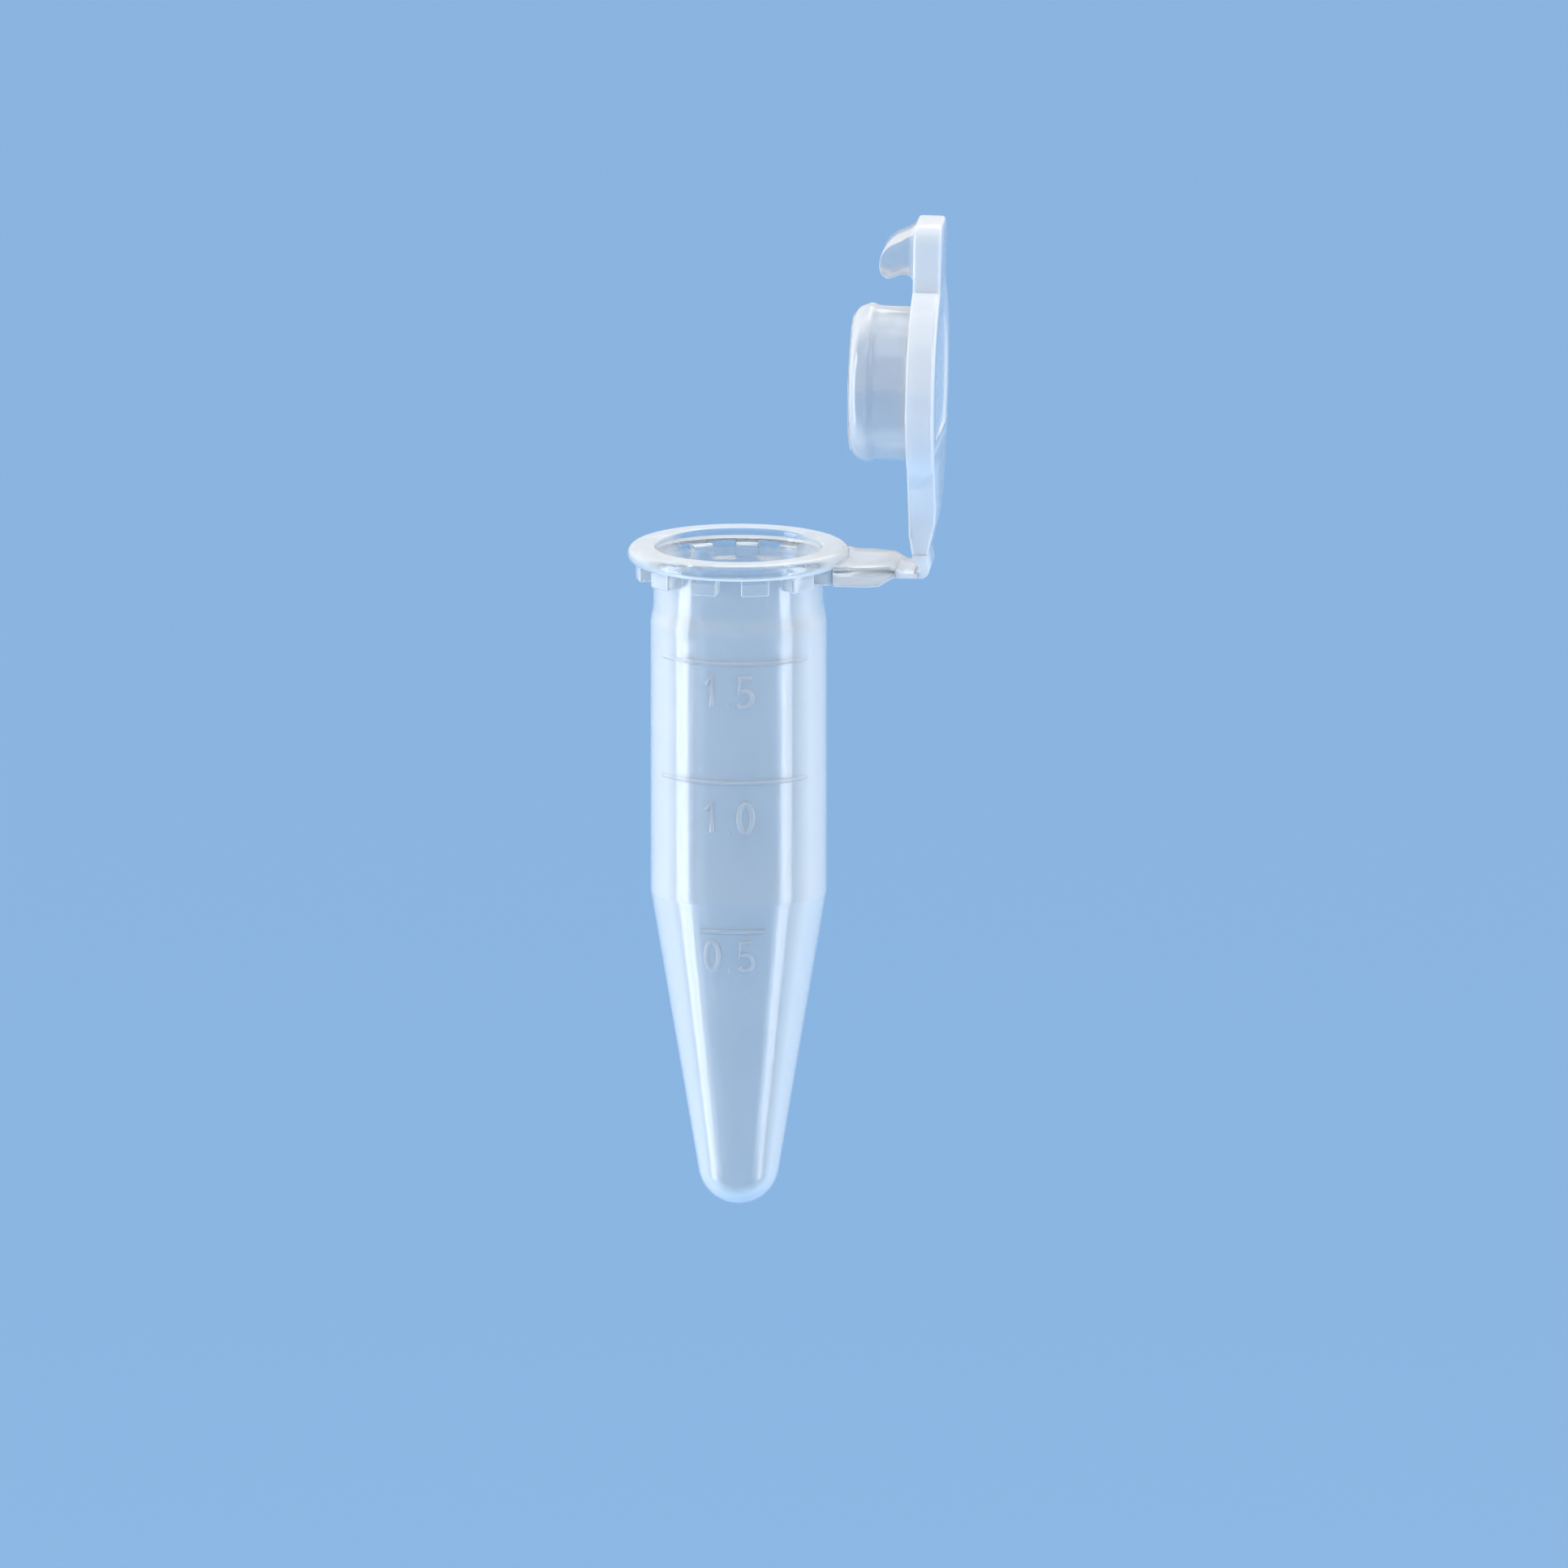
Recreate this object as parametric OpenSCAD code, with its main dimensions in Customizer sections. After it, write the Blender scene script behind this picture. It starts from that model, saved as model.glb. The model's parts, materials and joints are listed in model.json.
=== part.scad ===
// 1.5 ml snap-cap microcentrifuge tube, moulded with its lid on a living hinge.
// Frame: origin at the centre of the mouth in the plane of the rim's top, +Z up
// the tube's axis, +X towards the hinge. The graduations face -Y.

/* [Tube] */
// Height from the bottom of the tip to the top of the rim
tube_h = 40.5; // [39.5:0.1:42]
// Radius of the straight barrel, which a rack or a rotor holds
barrel_r = 5.3; // [5.25:0.01:5.4]
// Radius of the bore in the straight barrel
bore_r = 4.55; // [4.4:0.01:4.6]
// Depth below the rim at which the cone starts
cone_top_d = 21.15; // [20.5:0.05:22]
// Radius of the round bottom, outside
tip_r = 2.44; // [2.3:0.01:2.6]
// Thickness of the wall at the round bottom
tip_wall = 0.75; // [0.6:0.05:0.9]
// Radius of the neck under the rim
neck_r = 5.12; // [5.1:0.01:5.16]
// Depth at which the neck widens to the barrel
neck_d = 4.15; // [4:0.05:4.3]

/* [Mouth] */
// Radius of the mouth at its top
mouth_r = 5.02; // [5:0.01:5.03]
// Radius of the land that the plug seals on
land_r = 4.9; // [4.88:0.01:4.91]
// Depth at which the land starts
land_top_d = 2.9; // [2.6:0.1:3]
// Depth at which the land ends
land_end_d = 4.3; // [4.2:0.1:4.5]

/* [Rim] */
// Radius of the rim
rim_r = 6.68; // [6.6:0.01:6.7]
// Thickness of the rim
rim_t = 1; // [0.95:0.01:1.05]
// Radius of the notched collar under the rim
collar_r = 6.2; // [6:0.05:6.3]
// Height of the notched collar
collar_h = 0.96; // [0.9:0.01:1]
// Number of blocks in the notched collar
collar_blocks = 12; // [12:12:24]
// Angle that one block of the collar covers
block_angle = 16; // [14:0.5:17]

/* [Hinge] */
// Angle by which the lid is open at rest
open_angle = 90.9; // [90:0.1:93]
// Distance from the tube's axis to the start of the hinge film
film_x = 9.75; // [9.7:0.01:9.8]
// Depth of the start of the hinge film below the rim's top
film_d = 1.23; // [1.2:0.01:1.26]
// Straight distance between the two fold lines of the film
film_span = 2.14; // [2.1:0.01:2.2]
// Thickness of the film
film_t = 0.34; // [0.3:0.02:0.36]
// Width of the film
film_w = 4.5; // [4.2:0.1:4.7]
// Width of the strap at the rim
strap_w = 6; // [5.5:0.1:6.4]
// Depth of the strap's top below the rim's top
strap_top_d = 0.7; // [0.65:0.01:0.75]
// Depth of the strap's underside below the rim's top
strap_end_d = 1.92; // [1.85:0.01:1.96]

/* [Lid] */
// Radius of the lid's disc
lid_r = 6.5; // [6.4:0.05:6.6]
// Thickness of the lid's disc
lid_t = 1.68; // [1.6:0.01:1.75]
// Gap between the closed lid and the rim
lid_gap = 0.02; // [0.01:0.01:0.05]
// Distance from the lid's centre to the tip of the thumb tab
tab_reach = 10.04; // [9.9:0.01:10.1]
// Width of the thumb tab
tab_w = 4.8; // [4.4:0.1:5.2]
// Radius of the shallow dish in the lid's outer face
dish_r = 4.4; // [4:0.1:4.8]
// Depth of the shallow dish
dish_h = 0.12; // [0.08:0.02:0.2]
// Thickness of the lid's tail where the film starts
tail_t = 0.92; // [0.85:0.01:1]

/* [Plug] */
// Length of the plug's skirt
plug_h = 3.66; // [3.5:0.01:3.7]
// Outer radius of the skirt
plug_r = 4.64; // [4.6:0.01:4.66]
// Radius of the sealing bead
bead_r = 4.8; // [4.78:0.01:4.81]
// Depth of the sealing bead below the lid's inner face
bead_d = 2.6; // [2.5:0.01:2.7]
// Inner radius of the skirt
plug_bore_r = 3.95; // [3.9:0.01:4]

/* [Latch] */
// Width of the latch hook
hook_w = 4.8; // [4.4:0.1:5.2]
// Distance from the lid's centre to the hook's barb
barb_v = 6.76; // [6.74:0.01:6.8]

/* [Graduations] */
// Height by which lines and numerals stand out
mark_h = 0.17; // [0.16:0.01:0.2]
// Width of a graduation line
line_w = 0.28; // [0.2:0.01:0.35]
// Height of a numeral
digit_h = 2.15; // [1.9:0.05:2.3]
// Width of a numeral
digit_w = 1.3; // [1.1:0.05:1.4]
// Width of a numeral's stroke
stroke = 0.36; // [0.3:0.01:0.4]

/* [Hidden] */
$fn = 96;
CLEAR = [0.80, 0.87, 0.94, 0.6];
FROSTED = [0.86, 0.91, 0.96, 0.8];
OVER = 1;          // how far a cutting shape runs past what it cuts
RIGHT = 90;

// Round bottom and the cone that runs into it without a corner
tip_z = -tube_h + tip_r;
cone_drop = -cone_top_d - tip_z;
function cone_lean(r_top, r_tip) =
    atan(r_top / cone_drop) - asin(r_tip / norm([r_top, cone_drop]));
lean_out = cone_lean(barrel_r, tip_r);
lean_in = cone_lean(bore_r, tip_r - tip_wall);
// Radius of the outside at a height z
function wall_r(z) = barrel_r + min(0, z + cone_top_d) * tan(lean_out);

// Points on an arc about [x, z], from angle a to angle b
function arc(x, z, r, a, b, n = 8) =
    [for (i = [0:n]) [x + r * cos(a + (b - a) * i / n), z + r * sin(a + (b - a) * i / n)]];

// Closed, the film stands straight up from its start, and the lid lies on the rim.
// At rest the film has turned half of the opening angle, and the lid all of it.
fold = open_angle / 2;
film_z = -film_d;
lid_fold = [film_x + film_span * sin(fold), film_z + film_span * cos(fold)];

// Places a child modelled on the closed lid where the open lid is at rest
module opened() {
    translate([lid_fold[0], 0, lid_fold[1]])
        rotate([0, open_angle, 0])
            translate([-film_x, 0, -(film_z + film_span)])
                children();
}

// Side view of a strap or tab, in X and Z, pulled out to a width along Y
module side_shape(points, w) {
    rotate([RIGHT, 0, 0])
        translate([0, 0, -w / 2])
            linear_extrude(w)
                polygon(points);
}

// ---------------------------------------------------------------- tube

lip_round = 0.09;
bore_top_d = 4.8;
shoulder = 0.15;

module barrel() color(CLEAR)
    rotate_extrude()
        polygon(concat(
            [[neck_r, 0], [neck_r, -neck_d], [barrel_r, -neck_d - shoulder],
             [barrel_r, -cone_top_d], [bore_r, -cone_top_d], [bore_r, -bore_top_d],
             [land_r, -land_end_d], [land_r, -land_top_d]],
            arc(mouth_r + lip_round, -lip_round, lip_round, 180, RIGHT, 5)
        ));

// Straight side from the barrel to the round bottom, then the bottom's arc to the axis
function tip_profile(r_top, r_tip, lean) = concat(
    [[r_top, -cone_top_d]],
    arc(0, tip_z, r_tip, -lean, -RIGHT, 18)
);

module conical_tip() color(CLEAR)
    difference() {
        rotate_extrude()
            polygon(concat([[0, -cone_top_d]], tip_profile(barrel_r, tip_r, lean_out)));
        rotate_extrude()
            polygon(concat(
                [[0, -cone_top_d + OVER], [bore_r, -cone_top_d + OVER]],
                tip_profile(bore_r, tip_r - tip_wall, lean_in)
            ));
    }

module rim_flange() color(CLEAR)
    rotate_extrude()
        polygon(concat(
            [[neck_r, 0]],
            arc(rim_r - rim_t / 2, -rim_t / 2, rim_t / 2, RIGHT, -RIGHT, 16),
            [[neck_r, -rim_t]]
        ));

module rim_castellations() color(CLEAR)
    for (i = [0:collar_blocks - 1])
        rotate([0, 0, i * 360 / collar_blocks - RIGHT - block_angle / 2])
            rotate_extrude(angle = block_angle)
                translate([neck_r, -rim_t - collar_h])
                    square([collar_r - neck_r, collar_h]);

// Flat strap that leaves the rim and thins down to the film
strap_ramp = 1.11;
module hinge_strap() color(CLEAR)
    difference() {
        intersection() {
            side_shape([
                [neck_r, -strap_top_d], [film_x - strap_ramp * 0.43, -strap_top_d],
                [film_x, film_low + strap_tip_t], [film_x, film_low],
                [film_x - strap_ramp * 0.27, film_low],
                [film_x - strap_ramp, -strap_end_d], [neck_r, -strap_end_d],
            ], strap_w);
            translate([0, 0, -strap_end_d - OVER])
                linear_extrude(strap_end_d + OVER)
                    polygon([
                        [0, -strap_w / 2], [film_x - 1.6, -strap_w / 2],
                        [film_x, -film_w / 2], [film_x, film_w / 2],
                        [film_x - 1.6, strap_w / 2], [0, strap_w / 2],
                    ]);
        }
        rim_outline();
    }

// What the strap stands against: the rim, and the collar's block on its side
module rim_outline() {
    rotate_extrude()
        polygon(concat(
            [[0, 0]],
            arc(rim_r - rim_t / 2, -rim_t / 2, rim_t / 2, RIGHT, -RIGHT, 16),
            [[collar_r, -rim_t], [collar_r, -strap_end_d - OVER], [0, -strap_end_d - OVER]]
        ));
}

// ---------------------------------------------------------------- graduations

// [depth of the line, half of the angle it covers, distance down to its numeral's top]
line_1_5 = [6.25, 55, 0.68];
line_1_0 = [13.55, 55, 1.1];
line_0_5 = [22.75, 22, 0.5];

module raised_arc(line) {
    z = -line[0];
    r = wall_r(z);
    slope = wall_r(z + line_w / 2) - wall_r(z - line_w / 2);
    rotate([0, 0, -RIGHT - line[1]])
        rotate_extrude(angle = 2 * line[1])
            polygon([
                [r - slope / 2, z - line_w / 2], [r + mark_h, z - line_w / 2 + mark_h / 2],
                [r + mark_h, z + line_w / 2 - mark_h / 2], [r + slope / 2, z + line_w / 2],
            ]);
}

module graduation_lines() color(FROSTED) {
    raised_arc(line_1_5);
    raised_arc(line_1_0);
    raised_arc(line_0_5);
}

// Closed outline of a stroke that follows an arc of an oval
function bow(cx, cz, rx, rz, a, b, n = 14) = concat(
    [for (i = [0:n]) let (t = a + (b - a) * i / n) [cx + rx * cos(t), cz + rz * sin(t)]],
    [for (i = [n:-1:0]) let (t = a + (b - a) * i / n)
        [cx + (rx - stroke) * cos(t), cz + (rz - stroke) * sin(t)]]
);

module digit_0() {
    difference() {
        polygon([for (i = [0:27]) [digit_w / 2 * cos(i * 360 / 28), digit_h / 2 * sin(i * 360 / 28)]]);
        polygon([for (i = [0:27]) [
            (digit_w / 2 - stroke) * cos(i * 360 / 28),
            (digit_h / 2 - stroke) * sin(i * 360 / 28)]]);
    }
}

module digit_1()
    polygon([
        [stroke / 2, -digit_h / 2], [stroke / 2, digit_h / 2], [-stroke * 0.3, digit_h / 2],
        [-stroke * 1.6, digit_h / 2 - stroke * 1.2], [-stroke * 1.3, digit_h / 2 - stroke * 2],
        [-stroke / 2, digit_h / 2 - stroke * 1.3], [-stroke / 2, -digit_h / 2],
    ]);

module digit_5() {
    bowl_r = digit_h * 0.31;
    bowl_z = -digit_h / 2 + bowl_r;
    bowl_x = digit_w / 2 - bowl_r;
    polygon([
        [-digit_w / 2, digit_h / 2], [digit_w / 2 - 0.05, digit_h / 2],
        [digit_w / 2 - 0.05, digit_h / 2 - stroke],
        [-digit_w / 2 + stroke, digit_h / 2 - stroke],
        [-digit_w / 2 + stroke, bowl_z + bowl_r - stroke * 0.9],
        [-digit_w / 2, bowl_z + bowl_r - stroke * 1.1],
    ]);
    polygon(bow(bowl_x, bowl_z, bowl_r, bowl_r, 142, -138, 20));
}

// Pushes a flat shape drawn in X and Z out through the front wall
module through_front(z)
    translate([0, 0, z])
        rotate([RIGHT, 0, 0])
            linear_extrude(barrel_r + OVER)
                children();

// The skin, mark_h thick, that a numeral is cut out of
module skin(top, end)
    rotate_extrude()
        polygon([
            [wall_r(top), top], [wall_r(top) + mark_h, top],
            [wall_r(end) + mark_h, end], [wall_r(end), end],
        ]);

digit_pitch = 1.05;
numeral_x = -0.2;      // the numerals stand a little to the left of the middle
dot_r = 0.22;

module numeral(line) {
    mid = -line[0] - line[2] - digit_h / 2;
    intersection() {
        skin(mid + digit_h, mid - digit_h);
        through_front(mid) translate([numeral_x, 0]) {
            translate([-digit_pitch, 0]) children(0);
            translate([0, -digit_h / 2 + dot_r]) circle(dot_r, $fn = 24);
            translate([digit_pitch, 0]) children(1);
        }
    }
}

module numeral_1_5() color(FROSTED) numeral(line_1_5) { digit_1(); digit_5(); }
module numeral_1_0() color(FROSTED) numeral(line_1_0) { digit_1(); digit_0(); }
module numeral_0_5() color(FROSTED) numeral(line_0_5) { digit_0(); digit_5(); }

// ---------------------------------------------------------------- hinge film

// Where the closed lid's tail ends, past its fold line and above the rim's top
tail_past = 0.45;
tail_low_z = 0.26;

// A point of the closed lid, in X and Z, where it is at rest
function at_rest(x, z) = [
    lid_fold[0] + (x - film_x) * cos(open_angle) + (z - film_z - film_span) * sin(open_angle),
    lid_fold[1] - (x - film_x) * sin(open_angle) + (z - film_z - film_span) * cos(open_angle),
];
tail_in = at_rest(film_x + tail_past, tail_low_z);
tail_out = at_rest(film_x + tail_past, tail_low_z + tail_t);
film_low = film_z - film_t / 2 - 0.07;
film_top = film_low + film_t;
strap_tip_t = 0.56;
bend_r = 0.55;
bend_x = tail_out[0] + 0.12;

// Corner-shaped film: flat out of the strap, round the bend and up into the lid's tail
module living_hinge() color(FROSTED)
    side_shape(concat(
        [[film_x, film_low], [film_x, film_low + strap_tip_t], [film_x + 0.5, film_top]],
        arc(bend_x - film_t * 1.7 - 0.4, film_top + 0.4, 0.4, -RIGHT, 0, 5),
        [tail_in, tail_out],
        arc(bend_x - bend_r, film_low + bend_r, bend_r, 0, -RIGHT, 6)
    ), film_w);

// ---------------------------------------------------------------- lid, drawn closed

lid_z = lid_gap;
lid_round = 0.3;

module lid_disc() color(CLEAR)
    opened() difference() {
        rotate_extrude()
            polygon(concat(
                [[0, lid_z], [lid_r - lid_round / 2, lid_z], [lid_r, lid_z + lid_round / 2]],
                arc(lid_r - lid_round, lid_z + lid_t - lid_round, lid_round, 0, RIGHT, 5),
                [[0, lid_z + lid_t]]
            ));
        translate([0, 0, lid_z + lid_t - dish_h])
            cylinder(h = OVER, r = dish_r);
    }

// A tail or a tab with the disc itself cut away
module less_disc() {
    difference() {
        children();
        translate([0, 0, -OVER])
            cylinder(h = lid_t + 3 * OVER, r = lid_r);
    }
}

tail_start = 3.6;
tail_side_w = 10.6;

module lid_tail() color(CLEAR)
    opened() less_disc() intersection() {
        side_shape([
            [tail_start, lid_z], [film_x - 0.9, lid_z], [film_x + tail_past, tail_low_z],
            [film_x + tail_past, tail_low_z + tail_t], [film_x - 2.8, lid_z + lid_t],
            [tail_start, lid_z + lid_t],
        ], tail_side_w);
        translate([0, 0, -OVER])
            linear_extrude(lid_t + 3 * OVER)
                polygon([
                    [tail_start, -tail_side_w / 2], [film_x - 1.6, -film_w / 2 - 0.25],
                    [film_x + tail_past, -film_w / 2], [film_x + tail_past, film_w / 2],
                    [film_x - 1.6, film_w / 2 + 0.25], [tail_start, tail_side_w / 2],
                ]);
    }

tab_round = 0.3;
tab_start = -5.6;

module thumb_tab() color(CLEAR)
    opened() less_disc() intersection() {
        side_shape(concat(
            [[tab_start, lid_z], [tab_start, lid_z + lid_t]],
            arc(-tab_reach + tab_round, lid_z + lid_t - tab_round, tab_round, RIGHT, 180, 5),
            arc(-tab_reach + tab_round, lid_z + tab_round, tab_round, 180, 3 * RIGHT, 5)
        ), tab_w);
        translate([0, 0, -OVER])
            linear_extrude(lid_t + 3 * OVER)
                polygon(concat(
                    [[tab_start, -tab_w / 2], [tab_start, tab_w / 2]],
                    arc(-tab_reach + 1, tab_w / 2 - 1, 1, RIGHT, 180, 6),
                    arc(-tab_reach + 1, -tab_w / 2 + 1, 1, 180, 3 * RIGHT, 6)
                ));
    }

// Hollow skirt with a round sealing bead and a rounded leading edge
lead_round = 0.7;
module sealing_plug() color(CLEAR)
    opened() rotate_extrude()
        polygon(concat(
            [[plug_bore_r, lid_z], [plug_r, lid_z], [plug_r, lid_z - bead_d + 1.1]],
            arc(bead_r - 0.55, lid_z - bead_d, 0.55, 50, -50, 8),
            arc(plug_r - lead_round - 0.06, lid_z - plug_h + lead_round, lead_round, 0, -RIGHT, 6),
            arc(plug_bore_r + 0.15, lid_z - plug_h + 0.15, 0.15, -RIGHT, -180, 3)
        ));

// Snap hook under the thumb tab; its barb passes the rim's bead and holds under it
hook_depth = 2;
module latch_hook() color(CLEAR)
    opened() side_shape([
        [-9.52, lid_z], [-9.13, lid_z - 0.55], [-8.73, lid_z - 1.35], [-8.33, lid_z - 1.88],
        [-8.1, lid_z - hook_depth], [-7.33, lid_z - hook_depth],
        [-barb_v - 0.22, lid_z - 1.84], [-barb_v, lid_z - 1.42],
        [-barb_v - 0.22, lid_z - 0.66], [-barb_v - 0.12, lid_z - 0.25], [-barb_v, lid_z],
    ], hook_w);

barrel();
conical_tip();
rim_flange();
rim_castellations();
hinge_strap();
graduation_lines();
numeral_1_5();
numeral_1_0();
numeral_0_5();
living_hinge();
lid_disc();
lid_tail();
sealing_plug();
latch_hook();
thumb_tab();
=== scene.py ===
"""A snap-cap microcentrifuge tube in natural polypropylene, open, on its living hinge.

The file follows the tube as it is moulded: the studio, the body with its rim and strap, the
hinge film, the lid with its plug and latch, then the raised graduations.
"""

import json
import math

import bpy
from mathutils import Matrix, Vector


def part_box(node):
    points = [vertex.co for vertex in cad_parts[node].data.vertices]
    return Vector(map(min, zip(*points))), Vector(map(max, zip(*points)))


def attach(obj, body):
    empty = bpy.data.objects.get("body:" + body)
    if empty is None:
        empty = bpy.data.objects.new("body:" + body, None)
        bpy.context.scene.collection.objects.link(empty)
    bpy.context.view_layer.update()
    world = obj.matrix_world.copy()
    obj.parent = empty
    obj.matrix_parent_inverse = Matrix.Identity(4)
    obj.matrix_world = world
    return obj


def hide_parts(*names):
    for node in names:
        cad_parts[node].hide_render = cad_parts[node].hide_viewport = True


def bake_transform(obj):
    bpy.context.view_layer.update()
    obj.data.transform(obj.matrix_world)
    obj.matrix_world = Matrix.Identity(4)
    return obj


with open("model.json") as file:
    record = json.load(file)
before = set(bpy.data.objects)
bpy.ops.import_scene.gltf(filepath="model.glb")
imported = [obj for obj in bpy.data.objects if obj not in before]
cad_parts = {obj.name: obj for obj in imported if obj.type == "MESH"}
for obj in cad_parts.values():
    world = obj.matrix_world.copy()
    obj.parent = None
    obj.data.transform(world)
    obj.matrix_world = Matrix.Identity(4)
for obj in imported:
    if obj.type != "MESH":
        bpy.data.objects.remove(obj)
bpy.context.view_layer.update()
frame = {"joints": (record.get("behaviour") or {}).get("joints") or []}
MM = 0.001
RIGHT = math.pi / 2

# ---------------------------------------------------------------- camera
# A long lens a little above the mouth, turned a few degrees towards the hinge.
view_turn = math.radians(4.5)
view_rise = math.radians(12)
view_away = 2356 * MM
aim_right = 2.73 * MM
aim_down = 14.39 * MM

to_camera = Vector((
    math.sin(view_turn) * math.cos(view_rise),
    -math.cos(view_turn) * math.cos(view_rise),
    math.sin(view_rise),
))
across = Vector((math.cos(view_turn), math.sin(view_turn), 0))
upward = to_camera.cross(across)
aim = across * aim_right - upward * aim_down
bpy.ops.object.camera_add(location=aim + to_camera * view_away)
camera = bpy.context.object
camera.rotation_euler = to_camera.to_track_quat("Z", "Y").to_euler()
camera.data.lens = 900
camera.data.sensor_width = 36
camera.data.clip_start = 0.1
bpy.context.scene.camera = camera

# ---------------------------------------------------------------- studio
# A plain pale floor well below the tube, a tall soft light on the left, a narrower one on the
# right, a broad one overhead and a weak one behind for the far side.
floor_drop = 240 * MM
floor_size = 12
light_away = 290 * MM


def studio_material(name, colour):
    """A plain matt paint for the floor."""
    material = bpy.data.materials.new(name)
    material.use_nodes = True
    shader = material.node_tree.nodes["Principled BSDF"]
    shader.inputs["Base Color"].default_value = (*colour, 1)
    shader.inputs["Roughness"].default_value = 0.9
    return material


bpy.ops.mesh.primitive_plane_add(size=floor_size, location=(0, 0, -floor_drop))
floor = bpy.context.object
floor.name = "floor"
floor.data.materials.append(studio_material("pale_floor", (0.28, 0.53, 0.86)))


def soft_light(name, turn, rise, away, width, height, watts):
    """A soft box that faces the tube. turn is from the -Y side towards +X, in degrees."""
    turn, rise = math.radians(turn), math.radians(rise)
    way = Vector((
        math.sin(turn) * math.cos(rise), -math.cos(turn) * math.cos(rise), math.sin(rise)
    ))
    bpy.ops.object.light_add(type="AREA", location=way * away + Vector((0, 0, -0.012)))
    light = bpy.context.object
    light.name = name
    light.data.shape = "RECTANGLE"
    light.data.size = width
    light.data.size_y = height
    light.data.energy = watts
    light.visible_camera = False
    light.rotation_euler = way.to_track_quat("Z", "Y").to_euler()
    return light


soft_light("left_strip", -74, 0, light_away, 0.10, 0.46, 0.62)
soft_light("right_strip", 70, 0, light_away, 0.08, 0.46, 0.4)
soft_light("overhead", 0, 75, 0.5, 0.4, 0.4, 0.45)
soft_light("back_fill", 165, 50, 0.5, 0.3, 0.4, 0.4)

world = bpy.data.worlds.new("pale_room")
bpy.context.scene.world = world
world.use_nodes = True
world.node_tree.nodes["Background"].inputs["Color"].default_value = (0.94, 0.96, 1.0, 1)
world.node_tree.nodes["Background"].inputs["Strength"].default_value = 0.85
bpy.context.scene.view_settings.view_transform = "Standard"

# ---------------------------------------------------------------- tube body
# Barrel, cone, rim, notched collar and strap are one moulding in natural polypropylene: a thin
# wall turned about the tube's axis, with twelve blocks under the rim and a flat strap on one side.
rim_low, rim_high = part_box("rim_flange")
barrel_low, barrel_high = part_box("barrel")
tip_low, tip_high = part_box("conical_tip")
collar_low, collar_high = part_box("rim_castellations")
strap_low, strap_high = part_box("hinge_strap")

rim_r = rim_high.x
rim_t = -rim_low.z
barrel_r = barrel_high.x
cone_top = barrel_low.z
tube_low = tip_low.z
collar_r = collar_high.x
neck_r = 5.12 * MM
neck_z = -4.15 * MM
bore_r = 4.55 * MM
land_r = 4.9 * MM
mouth_r = 5.02 * MM
tip_r = 2.44 * MM
wall = 0.75 * MM
turns = 192


def deselect():
    """Nothing selected and object mode, so that the next operator acts on its own piece only."""
    if bpy.context.object is not None and bpy.context.object.mode != "OBJECT":
        bpy.ops.object.mode_set(mode="OBJECT")
    bpy.ops.object.select_all(action="DESELECT")


def activate(piece):
    deselect()
    piece.select_set(True)
    bpy.context.view_layer.objects.active = piece


def arc(x, z, r, start, end, steps):
    """Points on an arc in the XZ plane, from one angle to another in degrees."""
    return [
        (
            x + r * math.cos(math.radians(start + (end - start) * i / steps)),
            z + r * math.sin(math.radians(start + (end - start) * i / steps)),
        )
        for i in range(steps + 1)
    ]


def draw_outline(name, points, y=0.0, close=False):
    """A chain of edges in the XZ plane, drawn by extruding one vertex from point to point."""
    deselect()
    bpy.ops.mesh.primitive_plane_add(size=MM, location=(0, 0, 0))
    piece = bpy.context.object
    piece.name = name
    bpy.ops.object.mode_set(mode="EDIT")
    bpy.ops.mesh.select_mode(type="VERT")
    bpy.ops.mesh.select_all(action="SELECT")
    bpy.ops.mesh.merge(type="CENTER")
    bpy.ops.transform.translate(value=(points[0][0], y, points[0][1]))
    for (x0, z0), (x1, z1) in zip(points, points[1:]):
        bpy.ops.mesh.extrude_region_move(TRANSFORM_OT_translate={"value": (x1 - x0, 0, z1 - z0)})
    bpy.ops.mesh.select_all(action="SELECT")
    if close:
        bpy.ops.mesh.edge_face_add()
    return piece


def tidy_mesh(piece):
    """Merges doubles and points the faces outwards. Leaves the piece in object mode."""
    activate(piece)
    bpy.ops.object.mode_set(mode="EDIT")
    bpy.ops.mesh.select_all(action="SELECT")
    bpy.ops.mesh.remove_doubles(threshold=0.002 * MM)
    bpy.ops.mesh.normals_make_consistent(inside=False)
    bpy.ops.object.mode_set(mode="OBJECT")


def turned(name, points, steps=turns, angle=2 * math.pi):
    """An outline spun about the Z axis."""
    piece = draw_outline(name, points)
    bpy.ops.mesh.spin(steps=steps, angle=angle, center=(0, 0, 0), axis=(0, 0, 1))
    tidy_mesh(piece)
    return piece


def slab(name, points, width):
    """A closed outline in the XZ plane, pulled out to a width along Y about the middle plane."""
    piece = draw_outline(name, points, y=-width / 2, close=True)
    bpy.ops.mesh.extrude_region_move(TRANSFORM_OT_translate={"value": (0, width, 0)})
    tidy_mesh(piece)
    return piece


def select_points(piece, test):
    """In edit mode, selects the vertices whose place passes the test."""
    bpy.ops.mesh.select_mode(type="VERT")
    bpy.ops.mesh.select_all(action="DESELECT")
    bpy.ops.object.mode_set(mode="OBJECT")
    for vertex in piece.data.vertices:
        vertex.select = test(vertex.co)
    bpy.ops.object.mode_set(mode="EDIT")


def cut_across(piece, place, normal):
    """A ring of edges where a plane crosses the piece."""
    activate(piece)
    bpy.ops.object.mode_set(mode="EDIT")
    bpy.ops.mesh.select_all(action="SELECT")
    bpy.ops.mesh.bisect(plane_co=place, plane_no=normal)
    bpy.ops.object.mode_set(mode="OBJECT")


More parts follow.
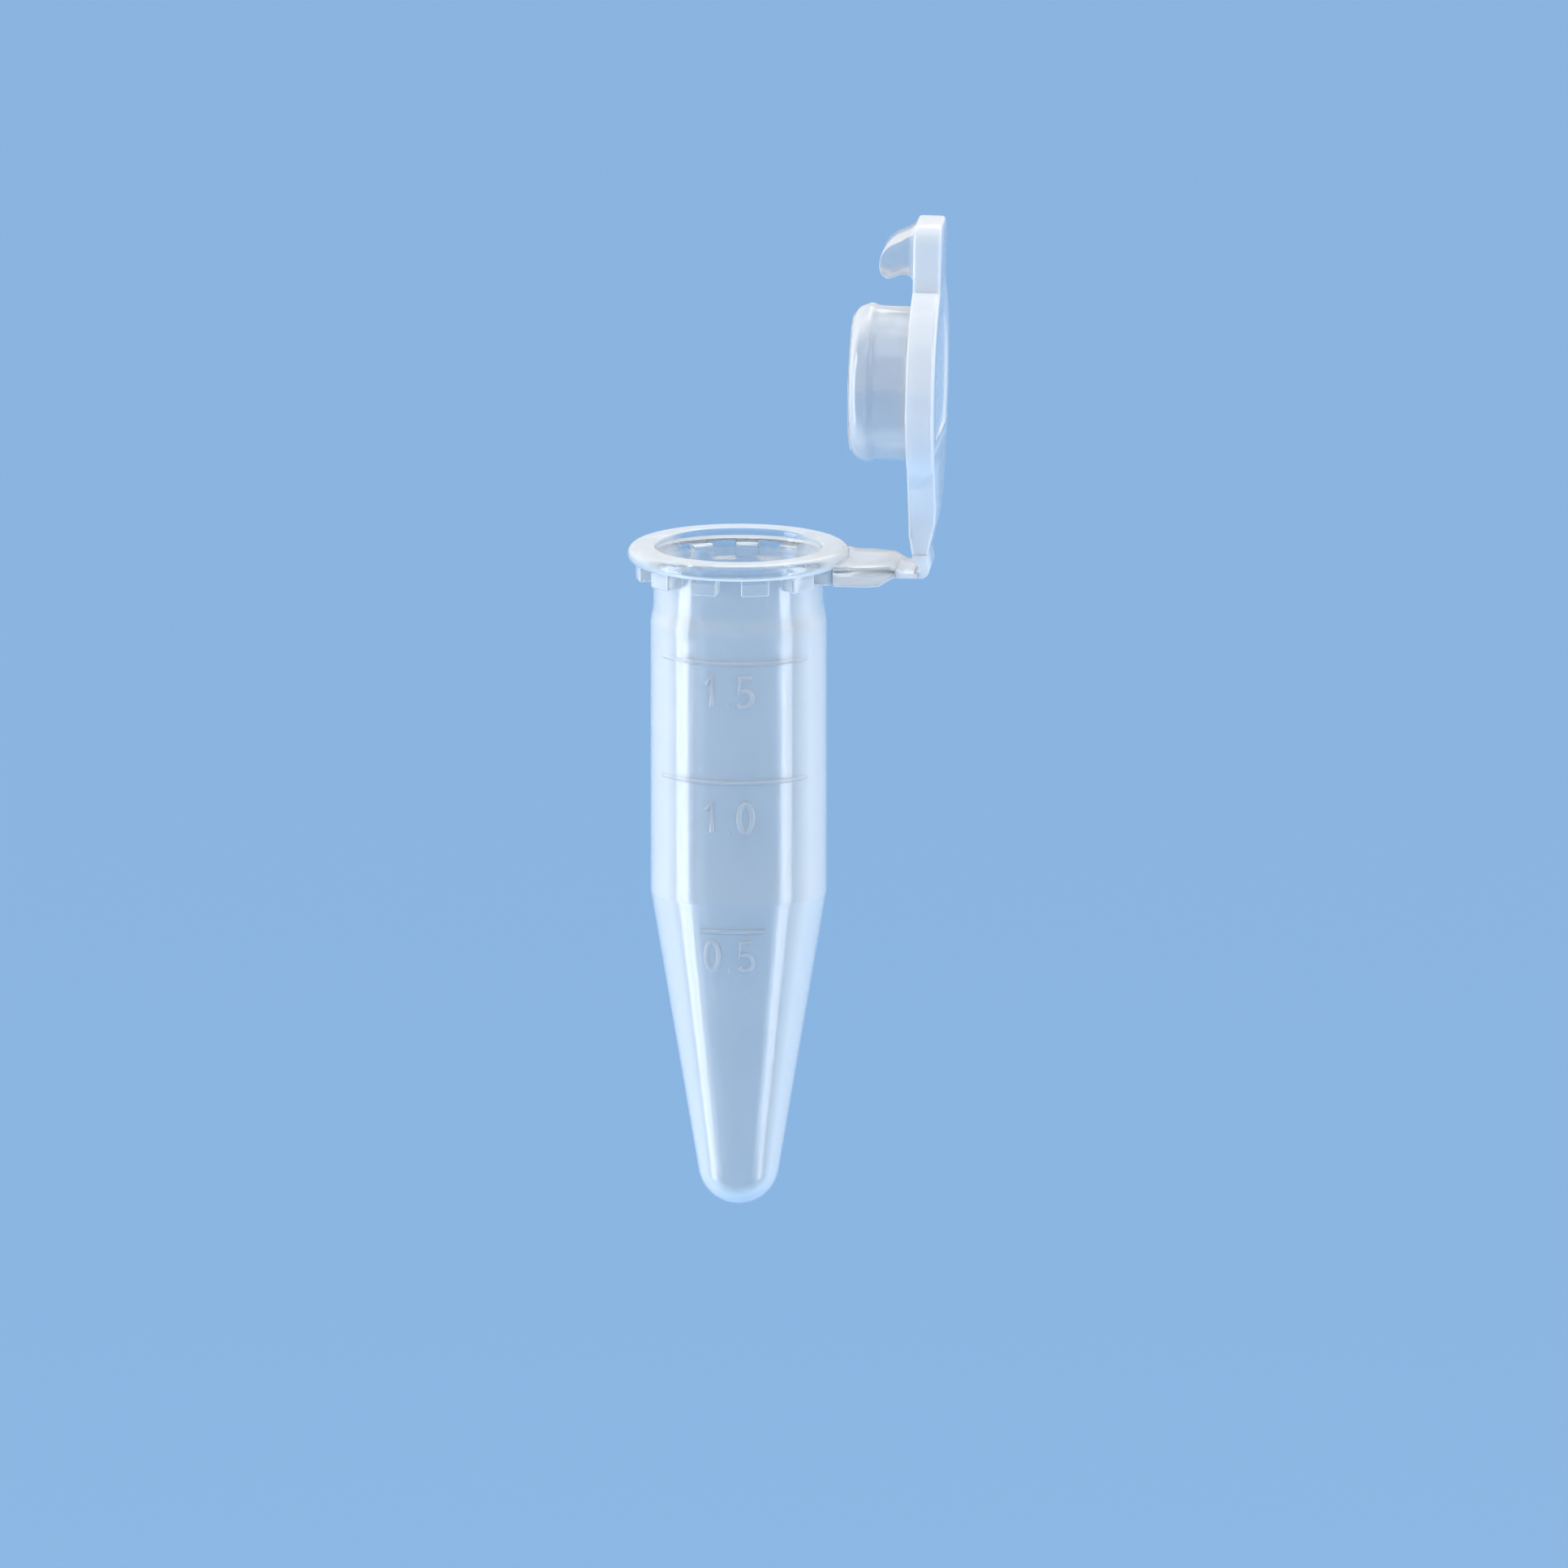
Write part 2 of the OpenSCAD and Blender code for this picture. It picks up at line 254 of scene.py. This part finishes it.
def round_edges(piece, width, segments=3, angle=30):
    """Rounds the sharp edges with a bevel, and applies it."""
    activate(piece)
    bevel = piece.modifiers.new("rounded", "BEVEL")
    bevel.width = width
    bevel.segments = segments
    bevel.limit_method = "ANGLE"
    bevel.angle_limit = math.radians(angle)
    bevel.use_clamp_overlap = True
    bpy.ops.object.modifier_apply(modifier="rounded")


def weld(piece, other):
    """Joins a second solid to the piece as one closed skin."""
    activate(piece)
    union = piece.modifiers.new("union", "BOOLEAN")
    union.operation = "UNION"
    union.solver = "EXACT"
    union.object = other
    bpy.ops.object.modifier_apply(modifier="union")
    bpy.data.objects.remove(other, do_unlink=True)


def smooth(piece, angle=32):
    activate(piece)
    bpy.ops.object.shade_smooth_by_angle(angle=math.radians(angle))


# The side of the cone touches the round bottom's circle without a corner.
def cone_lean(r_top, r_tip):
    drop = cone_top - (tube_low + tip_r)
    return math.degrees(math.atan2(r_top, drop) - math.asin(r_tip / math.hypot(r_top, drop)))


tip_z = tube_low + tip_r
lean_out = cone_lean(barrel_r, tip_r)
lean_in = cone_lean(bore_r, tip_r - wall)
body_outline = (
    arc(0, tip_z, tip_r, -90, -lean_out, 20)
    + arc(barrel_r - 0.6 * MM, cone_top + 0.05 * MM, 0.6 * MM, -lean_out, 0, 4)
    + [(barrel_r, neck_z - 0.5 * MM), (barrel_r - 0.02 * MM, neck_z - 0.3 * MM)]
    + [(barrel_r - 0.07 * MM, neck_z - 0.05 * MM), (neck_r + 0.05 * MM, neck_z + 0.25 * MM)]
    + [(neck_r + 0.01 * MM, neck_z + 0.5 * MM), (neck_r, neck_z + 0.75 * MM)]
    + [(neck_r, -rim_t - 0.14 * MM)]
    + arc(neck_r + 0.14 * MM, -rim_t - 0.14 * MM, 0.14 * MM, 180, 90, 3)
    + arc(rim_r - rim_t / 2, -rim_t / 2, rim_t / 2, -90, 90, 22)
    + arc(mouth_r + 0.2 * MM, -0.2 * MM, 0.2 * MM, 90, 180, 5)
    + [(land_r, -2.9 * MM), (land_r - 0.01 * MM, -3.5 * MM), (land_r - 0.05 * MM, -3.95 * MM)]
    + [(land_r - 0.15 * MM, -4.4 * MM), (bore_r + 0.08 * MM, -4.9 * MM)]
    + [(bore_r + 0.02 * MM, -5.3 * MM), (bore_r, -5.7 * MM)]
    + [(bore_r, cone_top + 0.62 * MM), (bore_r + 0.04 * MM, cone_top + 0.36 * MM)]
    + [(bore_r + 0.05 * MM, cone_top + 0.1 * MM), (bore_r - 0.01 * MM, cone_top - 0.14 * MM)]
    + arc(0, tip_z, tip_r - wall, -lean_in, -90, 20)
)
tube_body = turned("tube_body", body_outline)

block_angle = math.radians(16)
blocks = 12
block_root = 4.98 * MM
first_block = draw_outline(
    "collar_block",
    [(block_root, -rim_t + 0.2 * MM), (collar_r, -rim_t + 0.2 * MM),
     (collar_r, collar_low.z), (block_root, collar_low.z)],
    close=True,
)
bpy.ops.mesh.spin(steps=8, angle=block_angle, center=(0, 0, 0), axis=(0, 0, 1))
tidy_mesh(first_block)
round_edges(first_block, 0.11 * MM)
first_block.data.transform(Matrix.Rotation(-block_angle / 2, 4, "Z"))
for number in range(blocks):
    block = first_block.copy()
    block.data = first_block.data.copy()
    bpy.context.collection.objects.link(block)
    block.data.transform(Matrix.Rotation(number * 2 * math.pi / blocks - RIGHT, 4, "Z"))
    weld(tube_body, block)
bpy.data.objects.remove(first_block, do_unlink=True)

film_start = strap_high.x
film_low = -1.47 * MM
film_t = 0.34 * MM
strap_top = strap_high.z
strap_under = strap_low.z
ramp = 1.11 * MM
strap_tip = 0.56 * MM
strap_w = strap_high.y - strap_low.y
film_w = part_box("living_hinge")[1].y * 2
strap = slab(
    "strap",
    [(5.9 * MM, strap_top + 0.14 * MM), (6.6 * MM, strap_top + 0.12 * MM),
     (6.85 * MM, strap_top + 0.03 * MM), (7.15 * MM, strap_top),
     (film_start - ramp * 0.43, strap_top),
     (film_start, film_low + strap_tip), (film_start, film_low),
     (film_start - ramp * 0.27, film_low),
     (film_start - ramp, strap_under), (5.9 * MM, strap_under)],
    strap_w,
)
narrow_from = film_start - 1.7 * MM
cut_across(strap, (narrow_from, 0, 0), (1, 0, 0))
bpy.ops.object.mode_set(mode="EDIT")
for station, share in ((film_start - ramp, 0.91), (film_start - ramp * 0.43, 0.82),
                       (film_start - ramp * 0.27, 0.79), (film_start, film_w / strap_w)):
    select_points(strap, lambda co: abs(co.x - station) < 0.02 * MM)
    bpy.ops.transform.resize(value=(1, share, 1))
bpy.ops.object.mode_set(mode="OBJECT")
round_edges(strap, 0.13 * MM)
weld(tube_body, strap)
tidy_mesh(tube_body)
smooth(tube_body)


def value_between(tree, source, from_low, from_high, to_low, to_high):
    """A Map Range node on a number."""
    node = tree.nodes.new("ShaderNodeMapRange")
    node.interpolation_type = "SMOOTHSTEP"
    node.inputs["From Min"].default_value = from_low
    node.inputs["From Max"].default_value = from_high
    node.inputs["To Min"].default_value = to_low
    node.inputs["To Max"].default_value = to_high
    tree.links.new(source, node.inputs["Value"])
    return node.outputs["Result"]


def noise(tree, coordinates, scale, detail):
    node = tree.nodes.new("ShaderNodeTexNoise")
    node.inputs["Scale"].default_value = scale
    node.inputs["Detail"].default_value = detail
    tree.links.new(coordinates, node.inputs["Vector"])
    return node.outputs["Fac"]


def polypropylene(name, colour, clear, rough, ior=1.49, change=None):
    """Natural polypropylene: milky, and milkier where the wall is seen edge on.

    clear is how much passes through the skin, as (edge on, face on), and rough its roughness.
    change is (axis, place, share): past that place on the axis, clear is this share of itself.
    """
    material = bpy.data.materials.new(name)
    material.use_nodes = True
    tree = material.node_tree
    shader = tree.nodes["Principled BSDF"]
    place = tree.nodes.new("ShaderNodeTexCoord").outputs["Object"]
    cloud = noise(tree, place, 160, 3)
    grain = noise(tree, place, 2600, 2)
    tint = tree.nodes.new("ShaderNodeMix")
    tint.data_type = "RGBA"
    tint.inputs["A"].default_value = (*[c * 0.94 for c in colour], 1)
    tint.inputs["B"].default_value = (*colour, 1)
    tree.links.new(cloud, tint.inputs["Factor"])
    tree.links.new(tint.outputs["Result"], shader.inputs["Base Color"])
    edge = tree.nodes.new("ShaderNodeLayerWeight")
    edge.inputs["Blend"].default_value = 0.5
    passes = value_between(tree, edge.outputs["Facing"], 0.15, 0.45, clear[1], clear[0])
    if change is not None:
        axis, past, share = change
        split = tree.nodes.new("ShaderNodeSeparateXYZ")
        tree.links.new(place, split.inputs["Vector"])
        changed = value_between(
            tree, split.outputs[axis], past - 0.3 * MM, past + 0.2 * MM, 1, share
        )
        both = tree.nodes.new("ShaderNodeMath")
        both.operation = "MULTIPLY"
        both.use_clamp = True
        tree.links.new(passes, both.inputs[0])
        tree.links.new(changed, both.inputs[1])
        passes = both.outputs["Value"]
    tree.links.new(passes, shader.inputs["Transmission Weight"])
    tree.links.new(
        value_between(tree, grain, 0.3, 0.7, rough[0], rough[1]), shader.inputs["Roughness"]
    )
    bump = tree.nodes.new("ShaderNodeBump")
    bump.inputs["Strength"].default_value = 0.08
    bump.inputs["Distance"].default_value = 0.01 * MM
    tree.links.new(grain, bump.inputs["Height"])
    tree.links.new(bump.outputs["Normal"], shader.inputs["Normal"])
    shader.inputs["IOR"].default_value = ior
    shader.inputs["Subsurface Weight"].default_value = 0.7
    shader.inputs["Subsurface Radius"].default_value = (1, 1, 1)
    shader.inputs["Subsurface Scale"].default_value = 0.5 * MM
    shader.inputs["Coat Weight"].default_value = 0.6
    shader.inputs["Coat Roughness"].default_value = 0.1
    return material


wall_plastic = polypropylene(
    "natural_wall", (0.91, 0.95, 0.98), (0.26, 0.76), (0.08, 0.13), change=("Z", -rim_t, 1.6)
)
tube_body.data.materials.clear()
tube_body.data.materials.append(wall_plastic)
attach(tube_body, "tube")
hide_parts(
    "barrel", "conical_tip", "rim_flange", "rim_castellations", "hinge_strap"
)

# ---------------------------------------------------------------- lid
# The lid is moulded shut-side down beside the tube: a disc with a shallow dish, a hollow skirt
# with a sealing bead, a tail to the film, a thumb tab and a snap hook under it. It is drawn
# closed on the tube and then turned about the film to where the open lid stands.
fold_at = {joint["name"]: Vector(joint["pos_m"]) for joint in frame["joints"]}
strap_fold, lid_fold = fold_at["strap_fold"], fold_at["lid_fold"]
link = lid_fold - strap_fold
half_open = math.atan2(link.x, link.z)
closed_fold = strap_fold + Vector((0, 0, link.length))
to_open = (
    Matrix.Translation(lid_fold)
    @ Matrix.Rotation(2 * half_open, 4, "Y")
    @ Matrix.Translation(-closed_fold)
)


def open_up(piece):
    """Turns a piece drawn on the closed lid to where the open lid stands."""
    piece.data.transform(to_open)
    piece.data.update()


lid_z = 0.02 * MM
lid_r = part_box("lid_disc")[1].y
lid_t = 1.68 * MM
skirt_r = 4.64 * MM
skirt_in = 3.95 * MM
skirt_h = 3.66 * MM
bead_r = 4.8 * MM
bead_d = 2.6 * MM
lid_outline = (
    [(0, lid_z), (skirt_in - 0.2 * MM, lid_z)]
    + arc(skirt_in - 0.2 * MM, lid_z - 0.2 * MM, 0.2 * MM, 90, 0, 3)
    + arc(skirt_in + 0.16 * MM, lid_z - skirt_h + 0.16 * MM, 0.16 * MM, 180, 270, 3)
    + arc(bead_r - 1.03 * MM, lid_z - skirt_h + 0.95 * MM, 0.95 * MM, -90, -12, 10)
    + arc(bead_r - 0.6 * MM, lid_z - bead_d, 0.6 * MM, -8, 36, 8)
    + [(skirt_r + 0.01 * MM, lid_z - bead_d + 0.62 * MM)]
    + [(skirt_r, lid_z - bead_d + 0.95 * MM)]
    + arc(skirt_r + 0.3 * MM, lid_z - 0.3 * MM, 0.3 * MM, 180, 90, 5)
    + arc(lid_r - 0.12 * MM, lid_z + 0.12 * MM, 0.12 * MM, -90, 0, 3)
    + arc(lid_r - 0.32 * MM, lid_z + lid_t - 0.32 * MM, 0.32 * MM, 0, 90, 5)
    + [(4.55 * MM, lid_z + lid_t), (4.42 * MM, lid_z + lid_t - 0.03 * MM)]
    + [(4.3 * MM, lid_z + lid_t - 0.11 * MM), (4.15 * MM, lid_z + lid_t - 0.12 * MM)]
    + [(0, lid_z + lid_t - 0.12 * MM)]
)
lid = turned("lid", lid_outline)

tail_past = 0.45 * MM
tail_end = strap_fold.x + tail_past
tail_low = 0.26 * MM
tail_high = tail_low + 0.92 * MM
tail_w = 11.56 * MM
tail_start = 2.9 * MM
tail = slab(
    "tail",
    [(tail_start, lid_z), (tail_end - 1.4 * MM, lid_z), (tail_end, tail_low),
     (tail_end, tail_high), (tail_end - 0.9 * MM, tail_high + 0.17 * MM),
     (tail_end - 2.1 * MM, lid_z + lid_t - 0.07 * MM), (tail_end - 3.1 * MM, lid_z + lid_t),
     (tail_start, lid_z + lid_t)],
    tail_w,
)
# half widths at distances back from the end: straight off the disc, then a soft turn
tail_plan = {
    0: 2.25, 0.9: 2.27, 1.4: 2.32, 2.1: 2.52, 3.1: 3.05, 4.4: 3.84, 5.6: 4.58, 6.6: 5.2,
}
for back in (0.9, 2.1, 3.1, 4.4, 5.6, 6.6):
    cut_across(tail, (tail_end - back * MM, 0, 0), (1, 0, 0))
activate(tail)
bpy.ops.object.mode_set(mode="EDIT")
for back, half_width in tail_plan.items():
    select_points(tail, lambda co: abs(co.x - tail_end + back * MM) < 0.02 * MM)
    bpy.ops.transform.resize(value=(1, 2 * half_width * MM / tail_w, 1))
bpy.ops.object.mode_set(mode="OBJECT")
round_edges(tail, 0.16 * MM, angle=35)

tab_end = -10.04 * MM
tab_w = 4.8 * MM
tab = slab(
    "tab",
    [(-5.4 * MM, lid_z), (-5.4 * MM, lid_z + lid_t), (tab_end, lid_z + lid_t), (tab_end, lid_z)],
    tab_w,
)
activate(tab)
bpy.ops.object.mode_set(mode="EDIT")
bpy.ops.mesh.select_mode(type="EDGE")
bpy.ops.mesh.select_all(action="DESELECT")
bpy.ops.object.mode_set(mode="OBJECT")
for edge in tab.data.edges:
    ends = [tab.data.vertices[i].co for i in edge.vertices]
    upright = abs(ends[0].z - ends[1].z) > MM
    edge.select = upright and ends[0].x < -9 * MM
bpy.ops.object.mode_set(mode="EDIT")
bpy.ops.mesh.bevel(offset=1.0 * MM, segments=6, affect="EDGES")
bpy.ops.object.mode_set(mode="OBJECT")
round_edges(tab, 0.26 * MM)

hook = slab(
    "hook",
    [(-9.7 * MM, lid_z + 0.4 * MM), (-9.6 * MM, lid_z - 0.02 * MM)]
    + [(-9.36 * MM, lid_z - 0.36 * MM), (-9.12 * MM, lid_z - 0.78 * MM)]
    + [(-8.9 * MM, lid_z - 1.26 * MM), (-8.62 * MM, lid_z - 1.66 * MM)]
    + [(-8.24 * MM, lid_z - 1.92 * MM), (-7.8 * MM, lid_z - 2.02 * MM)]
    + [(-7.36 * MM, lid_z - 2.02 * MM), (-7.02 * MM, lid_z - 1.88 * MM)]
    + [(-6.76 * MM, lid_z - 1.5 * MM), (-6.9 * MM, lid_z - 1.12 * MM)]
    + [(-7.06 * MM, lid_z - 0.74 * MM), (-7.07 * MM, lid_z - 0.4 * MM)]
    + [(-6.98 * MM, lid_z - 0.16 * MM), (-6.74 * MM, lid_z + 0.02 * MM)]
    + [(-6.74 * MM, lid_z + 0.4 * MM)],
    4.36 * MM,
)
round_edges(hook, 0.09 * MM, angle=50)
for part in (tail, tab, hook):
    weld(lid, part)
tidy_mesh(lid)
open_up(lid)
smooth(lid)
lid_plastic = polypropylene(
    "natural_lid", (0.88, 0.91, 0.94), (0.3, 0.78), (0.12, 0.18),
    change=("X", (to_open @ Vector((0, 0, lid_z))).x, 0.4),
)
lid.data.materials.clear()
lid.data.materials.append(lid_plastic)
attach(lid, "lid")
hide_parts("lid_disc", "lid_tail", "sealing_plug", "latch_hook", "thumb_tab")

# ---------------------------------------------------------------- hinge film
# A third of a millimetre of the same plastic, drawn and whitened by bending. It leaves the strap
# flat, turns a corner and runs up into the lid's tail. It is built in two halves, one from the
# strap's side and one from the lid's, and they meet past the corner.
film_top = film_low + film_t
tail_in = to_open @ Vector((tail_end, 0, tail_low))
tail_out = to_open @ Vector((tail_end, 0, tail_high))
bend_r = 0.55 * MM
bend_x = tail_out.x + 0.12 * MM
seam_x = 11.0 * MM
film_sink = 0.2 * MM


def film_piece(name, points, width):
    """A strip of film with close rings along its length, and its edges rounded."""
    piece = slab(name, points, width)
    round_edges(piece, 0.07 * MM, segments=2, angle=50)
    return piece


def film_height(x):
    """Thickness of the film: as high as the strap's end where it starts, then down to its own."""
    if x < film_start:
        return strap_tip - 0.03 * MM + 0.44 * (film_start - x)
    share = min(1, (x - film_start) / (0.5 * MM))
    return film_t + (strap_tip - 0.03 * MM - film_t) * (1 - share) ** 2


# past the seam the strap's half goes on for a little inside the lid's half
run = [film_start - film_sink + (seam_x - film_start + film_sink) * i / 12 for i in range(13)]
tongue = 0.03 * MM
tongue_end = seam_x + 0.2 * MM
strap_film = film_piece(
    "hinge_film_strap_side",
    [(x, film_low) for x in run]
    + [(seam_x, film_low + tongue), (tongue_end, film_low + tongue)]
    + [(tongue_end, film_top - tongue), (seam_x, film_top - tongue)]
    + [(x, film_low + film_height(x)) for x in reversed(run)],
    film_w - 0.02 * MM,
)
inner_r = 0.3 * MM
inner_x = bend_x - 0.62 * MM
lid_film = film_piece(
    "hinge_film_lid_side",
    [(seam_x, film_low)]
    + arc(bend_x - bend_r, film_low + bend_r, bend_r, -90, 0, 8)
    + [(tail_out.x - 0.01 * MM, tail_out.z - 0.1 * MM)]
    + [(tail_out.x - 0.03 * MM, tail_out.z + film_sink)]
    + [(tail_in.x + 0.03 * MM, tail_in.z + film_sink), (tail_in.x + 0.01 * MM, tail_in.z)]
    + arc(inner_x - inner_r, film_top + inner_r, inner_r, 0, -90, 6)
    + [(seam_x, film_top)],
    film_w,
)
film_plastic = polypropylene("drawn_film", (0.87, 0.91, 0.95), (0.0, 0.15), (0.16, 0.24))
for piece in (strap_film, lid_film):
    smooth(piece)
    piece.data.materials.clear()
    piece.data.materials.append(film_plastic)
    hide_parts("living_hinge")
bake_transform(strap_film)
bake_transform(lid_film)

# ---------------------------------------------------------------- graduations
# Three lines and their volumes stand out of the front wall by a tenth of a millimetre, cut as
# rounded grooves in the mould.
stroke_r = 0.19 * MM
stroke_out = 0.09 * MM
digit_h = 2.15 * MM
digit_w = 1.2 * MM
digit_pitch = 1.04 * MM
numeral_x = -0.2 * MM
# how far each line is below the rim, the angle it reaches round to either side, and the
# distance from it down to its numeral
lines = {
    "1_5": (6.25 * MM, 55, 0.68 * MM),
    "1_0": (13.55 * MM, 55, 1.1 * MM),
    "0_5": (22.75 * MM, 22, 0.5 * MM),
}


def on_wall(along, z, r_stroke, out):
    """The middle of a stroke at a point of the front wall, along being the way round it."""
    r = barrel_r + min(0, z - cone_top) * math.tan(math.radians(lean_out))
    turn = along / r
    r += out - r_stroke
    return (r * math.sin(turn), -r * math.cos(turn), z)


def raised_strokes(name, strokes, r_stroke=stroke_r, out=stroke_out):
    """Rounded ridges along lists of (along, z) points; a list that ends where it starts is a ring."""
    curve = bpy.data.curves.new(name, "CURVE")
    curve.dimensions = "3D"
    curve.bevel_depth = r_stroke
    curve.bevel_resolution = 4
    curve.use_fill_caps = True
    for stroke in strokes:
        ring = stroke[0] == stroke[-1]
        points = stroke[:-1] if ring else stroke
        spline = curve.splines.new("POLY")
        spline.points.add(len(points) - 1)
        for point, (along, z) in zip(spline.points, points):
            point.co = (*on_wall(along, z, r_stroke, out), 1)
        spline.use_cyclic_u = ring
    piece = bpy.data.objects.new(name, curve)
    bpy.context.collection.objects.link(piece)
    activate(piece)
    bpy.ops.object.convert(target="MESH")
    piece = bpy.context.object
    tidy_mesh(piece)
    smooth(piece, 50)
    return piece


def zero(x, z):
    half_w, half_h = digit_w / 2 - stroke_r, digit_h / 2 - stroke_r
    ring = [
        (x + half_w * math.cos(i * math.pi / 16), z + half_h * math.sin(i * math.pi / 16))
        for i in range(32)
    ]
    return [ring + ring[:1]]


def one(x, z):
    top, low = z + digit_h / 2 - stroke_r, z - digit_h / 2 + stroke_r
    return [[(x - 0.36 * MM, top - 0.42 * MM), (x + 0.02 * MM, top), (x + 0.02 * MM, low)]]


def five(x, z):
    top, low = z + digit_h / 2 - stroke_r, z - digit_h / 2 + stroke_r
    left, right = x - digit_w / 2 + stroke_r, x + digit_w / 2 - stroke_r
    bowl = 0.5 * MM
    waist = low + 2 * bowl
    return [
        [(right - 0.05 * MM, top), (left + 0.06 * MM, top), (left, waist - 0.14 * MM)]
        + [(left + 0.16 * MM, waist - 0.03 * MM)]
        + arc(right - bowl, low + bowl, bowl, 84, -118, 18)
        + [(left, low + 0.24 * MM)]
    ]


def point_mark(x, z):
    low = z - digit_h / 2 + stroke_r
    return [[(x - 0.03 * MM, low), (x + 0.03 * MM, low)]]


mark_plastic = polypropylene("raised_marks", (0.90, 0.93, 0.96), (0.5, 0.7), (0.15, 0.25), 1.0)


def finish_mark(piece, node):
    piece.data.materials.clear()
    piece.data.materials.append(mark_plastic)
    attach(piece, "tube")
    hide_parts(node)


line_strokes = []
for depth, reach, drop in lines.values():
    along = math.radians(reach) * barrel_r
    line_strokes.append([(-along + 2 * along * i / 64, -depth) for i in range(65)])
finish_mark(
    raised_strokes("graduation_lines_raised", line_strokes, 0.2 * MM, 0.05 * MM),
    "graduation_lines",
)
draw_digit = {"0": zero, "1": one, "5": five}
for mark, (depth, reach, drop) in lines.items():
    middle = -depth - drop - digit_h / 2
    strokes = draw_digit[mark[0]](numeral_x - digit_pitch, middle)
    strokes += point_mark(numeral_x, middle)
    strokes += draw_digit[mark[2]](numeral_x + digit_pitch, middle)
    finish_mark(raised_strokes(f"numeral_{mark}_raised", strokes), f"numeral_{mark}")

deselect()
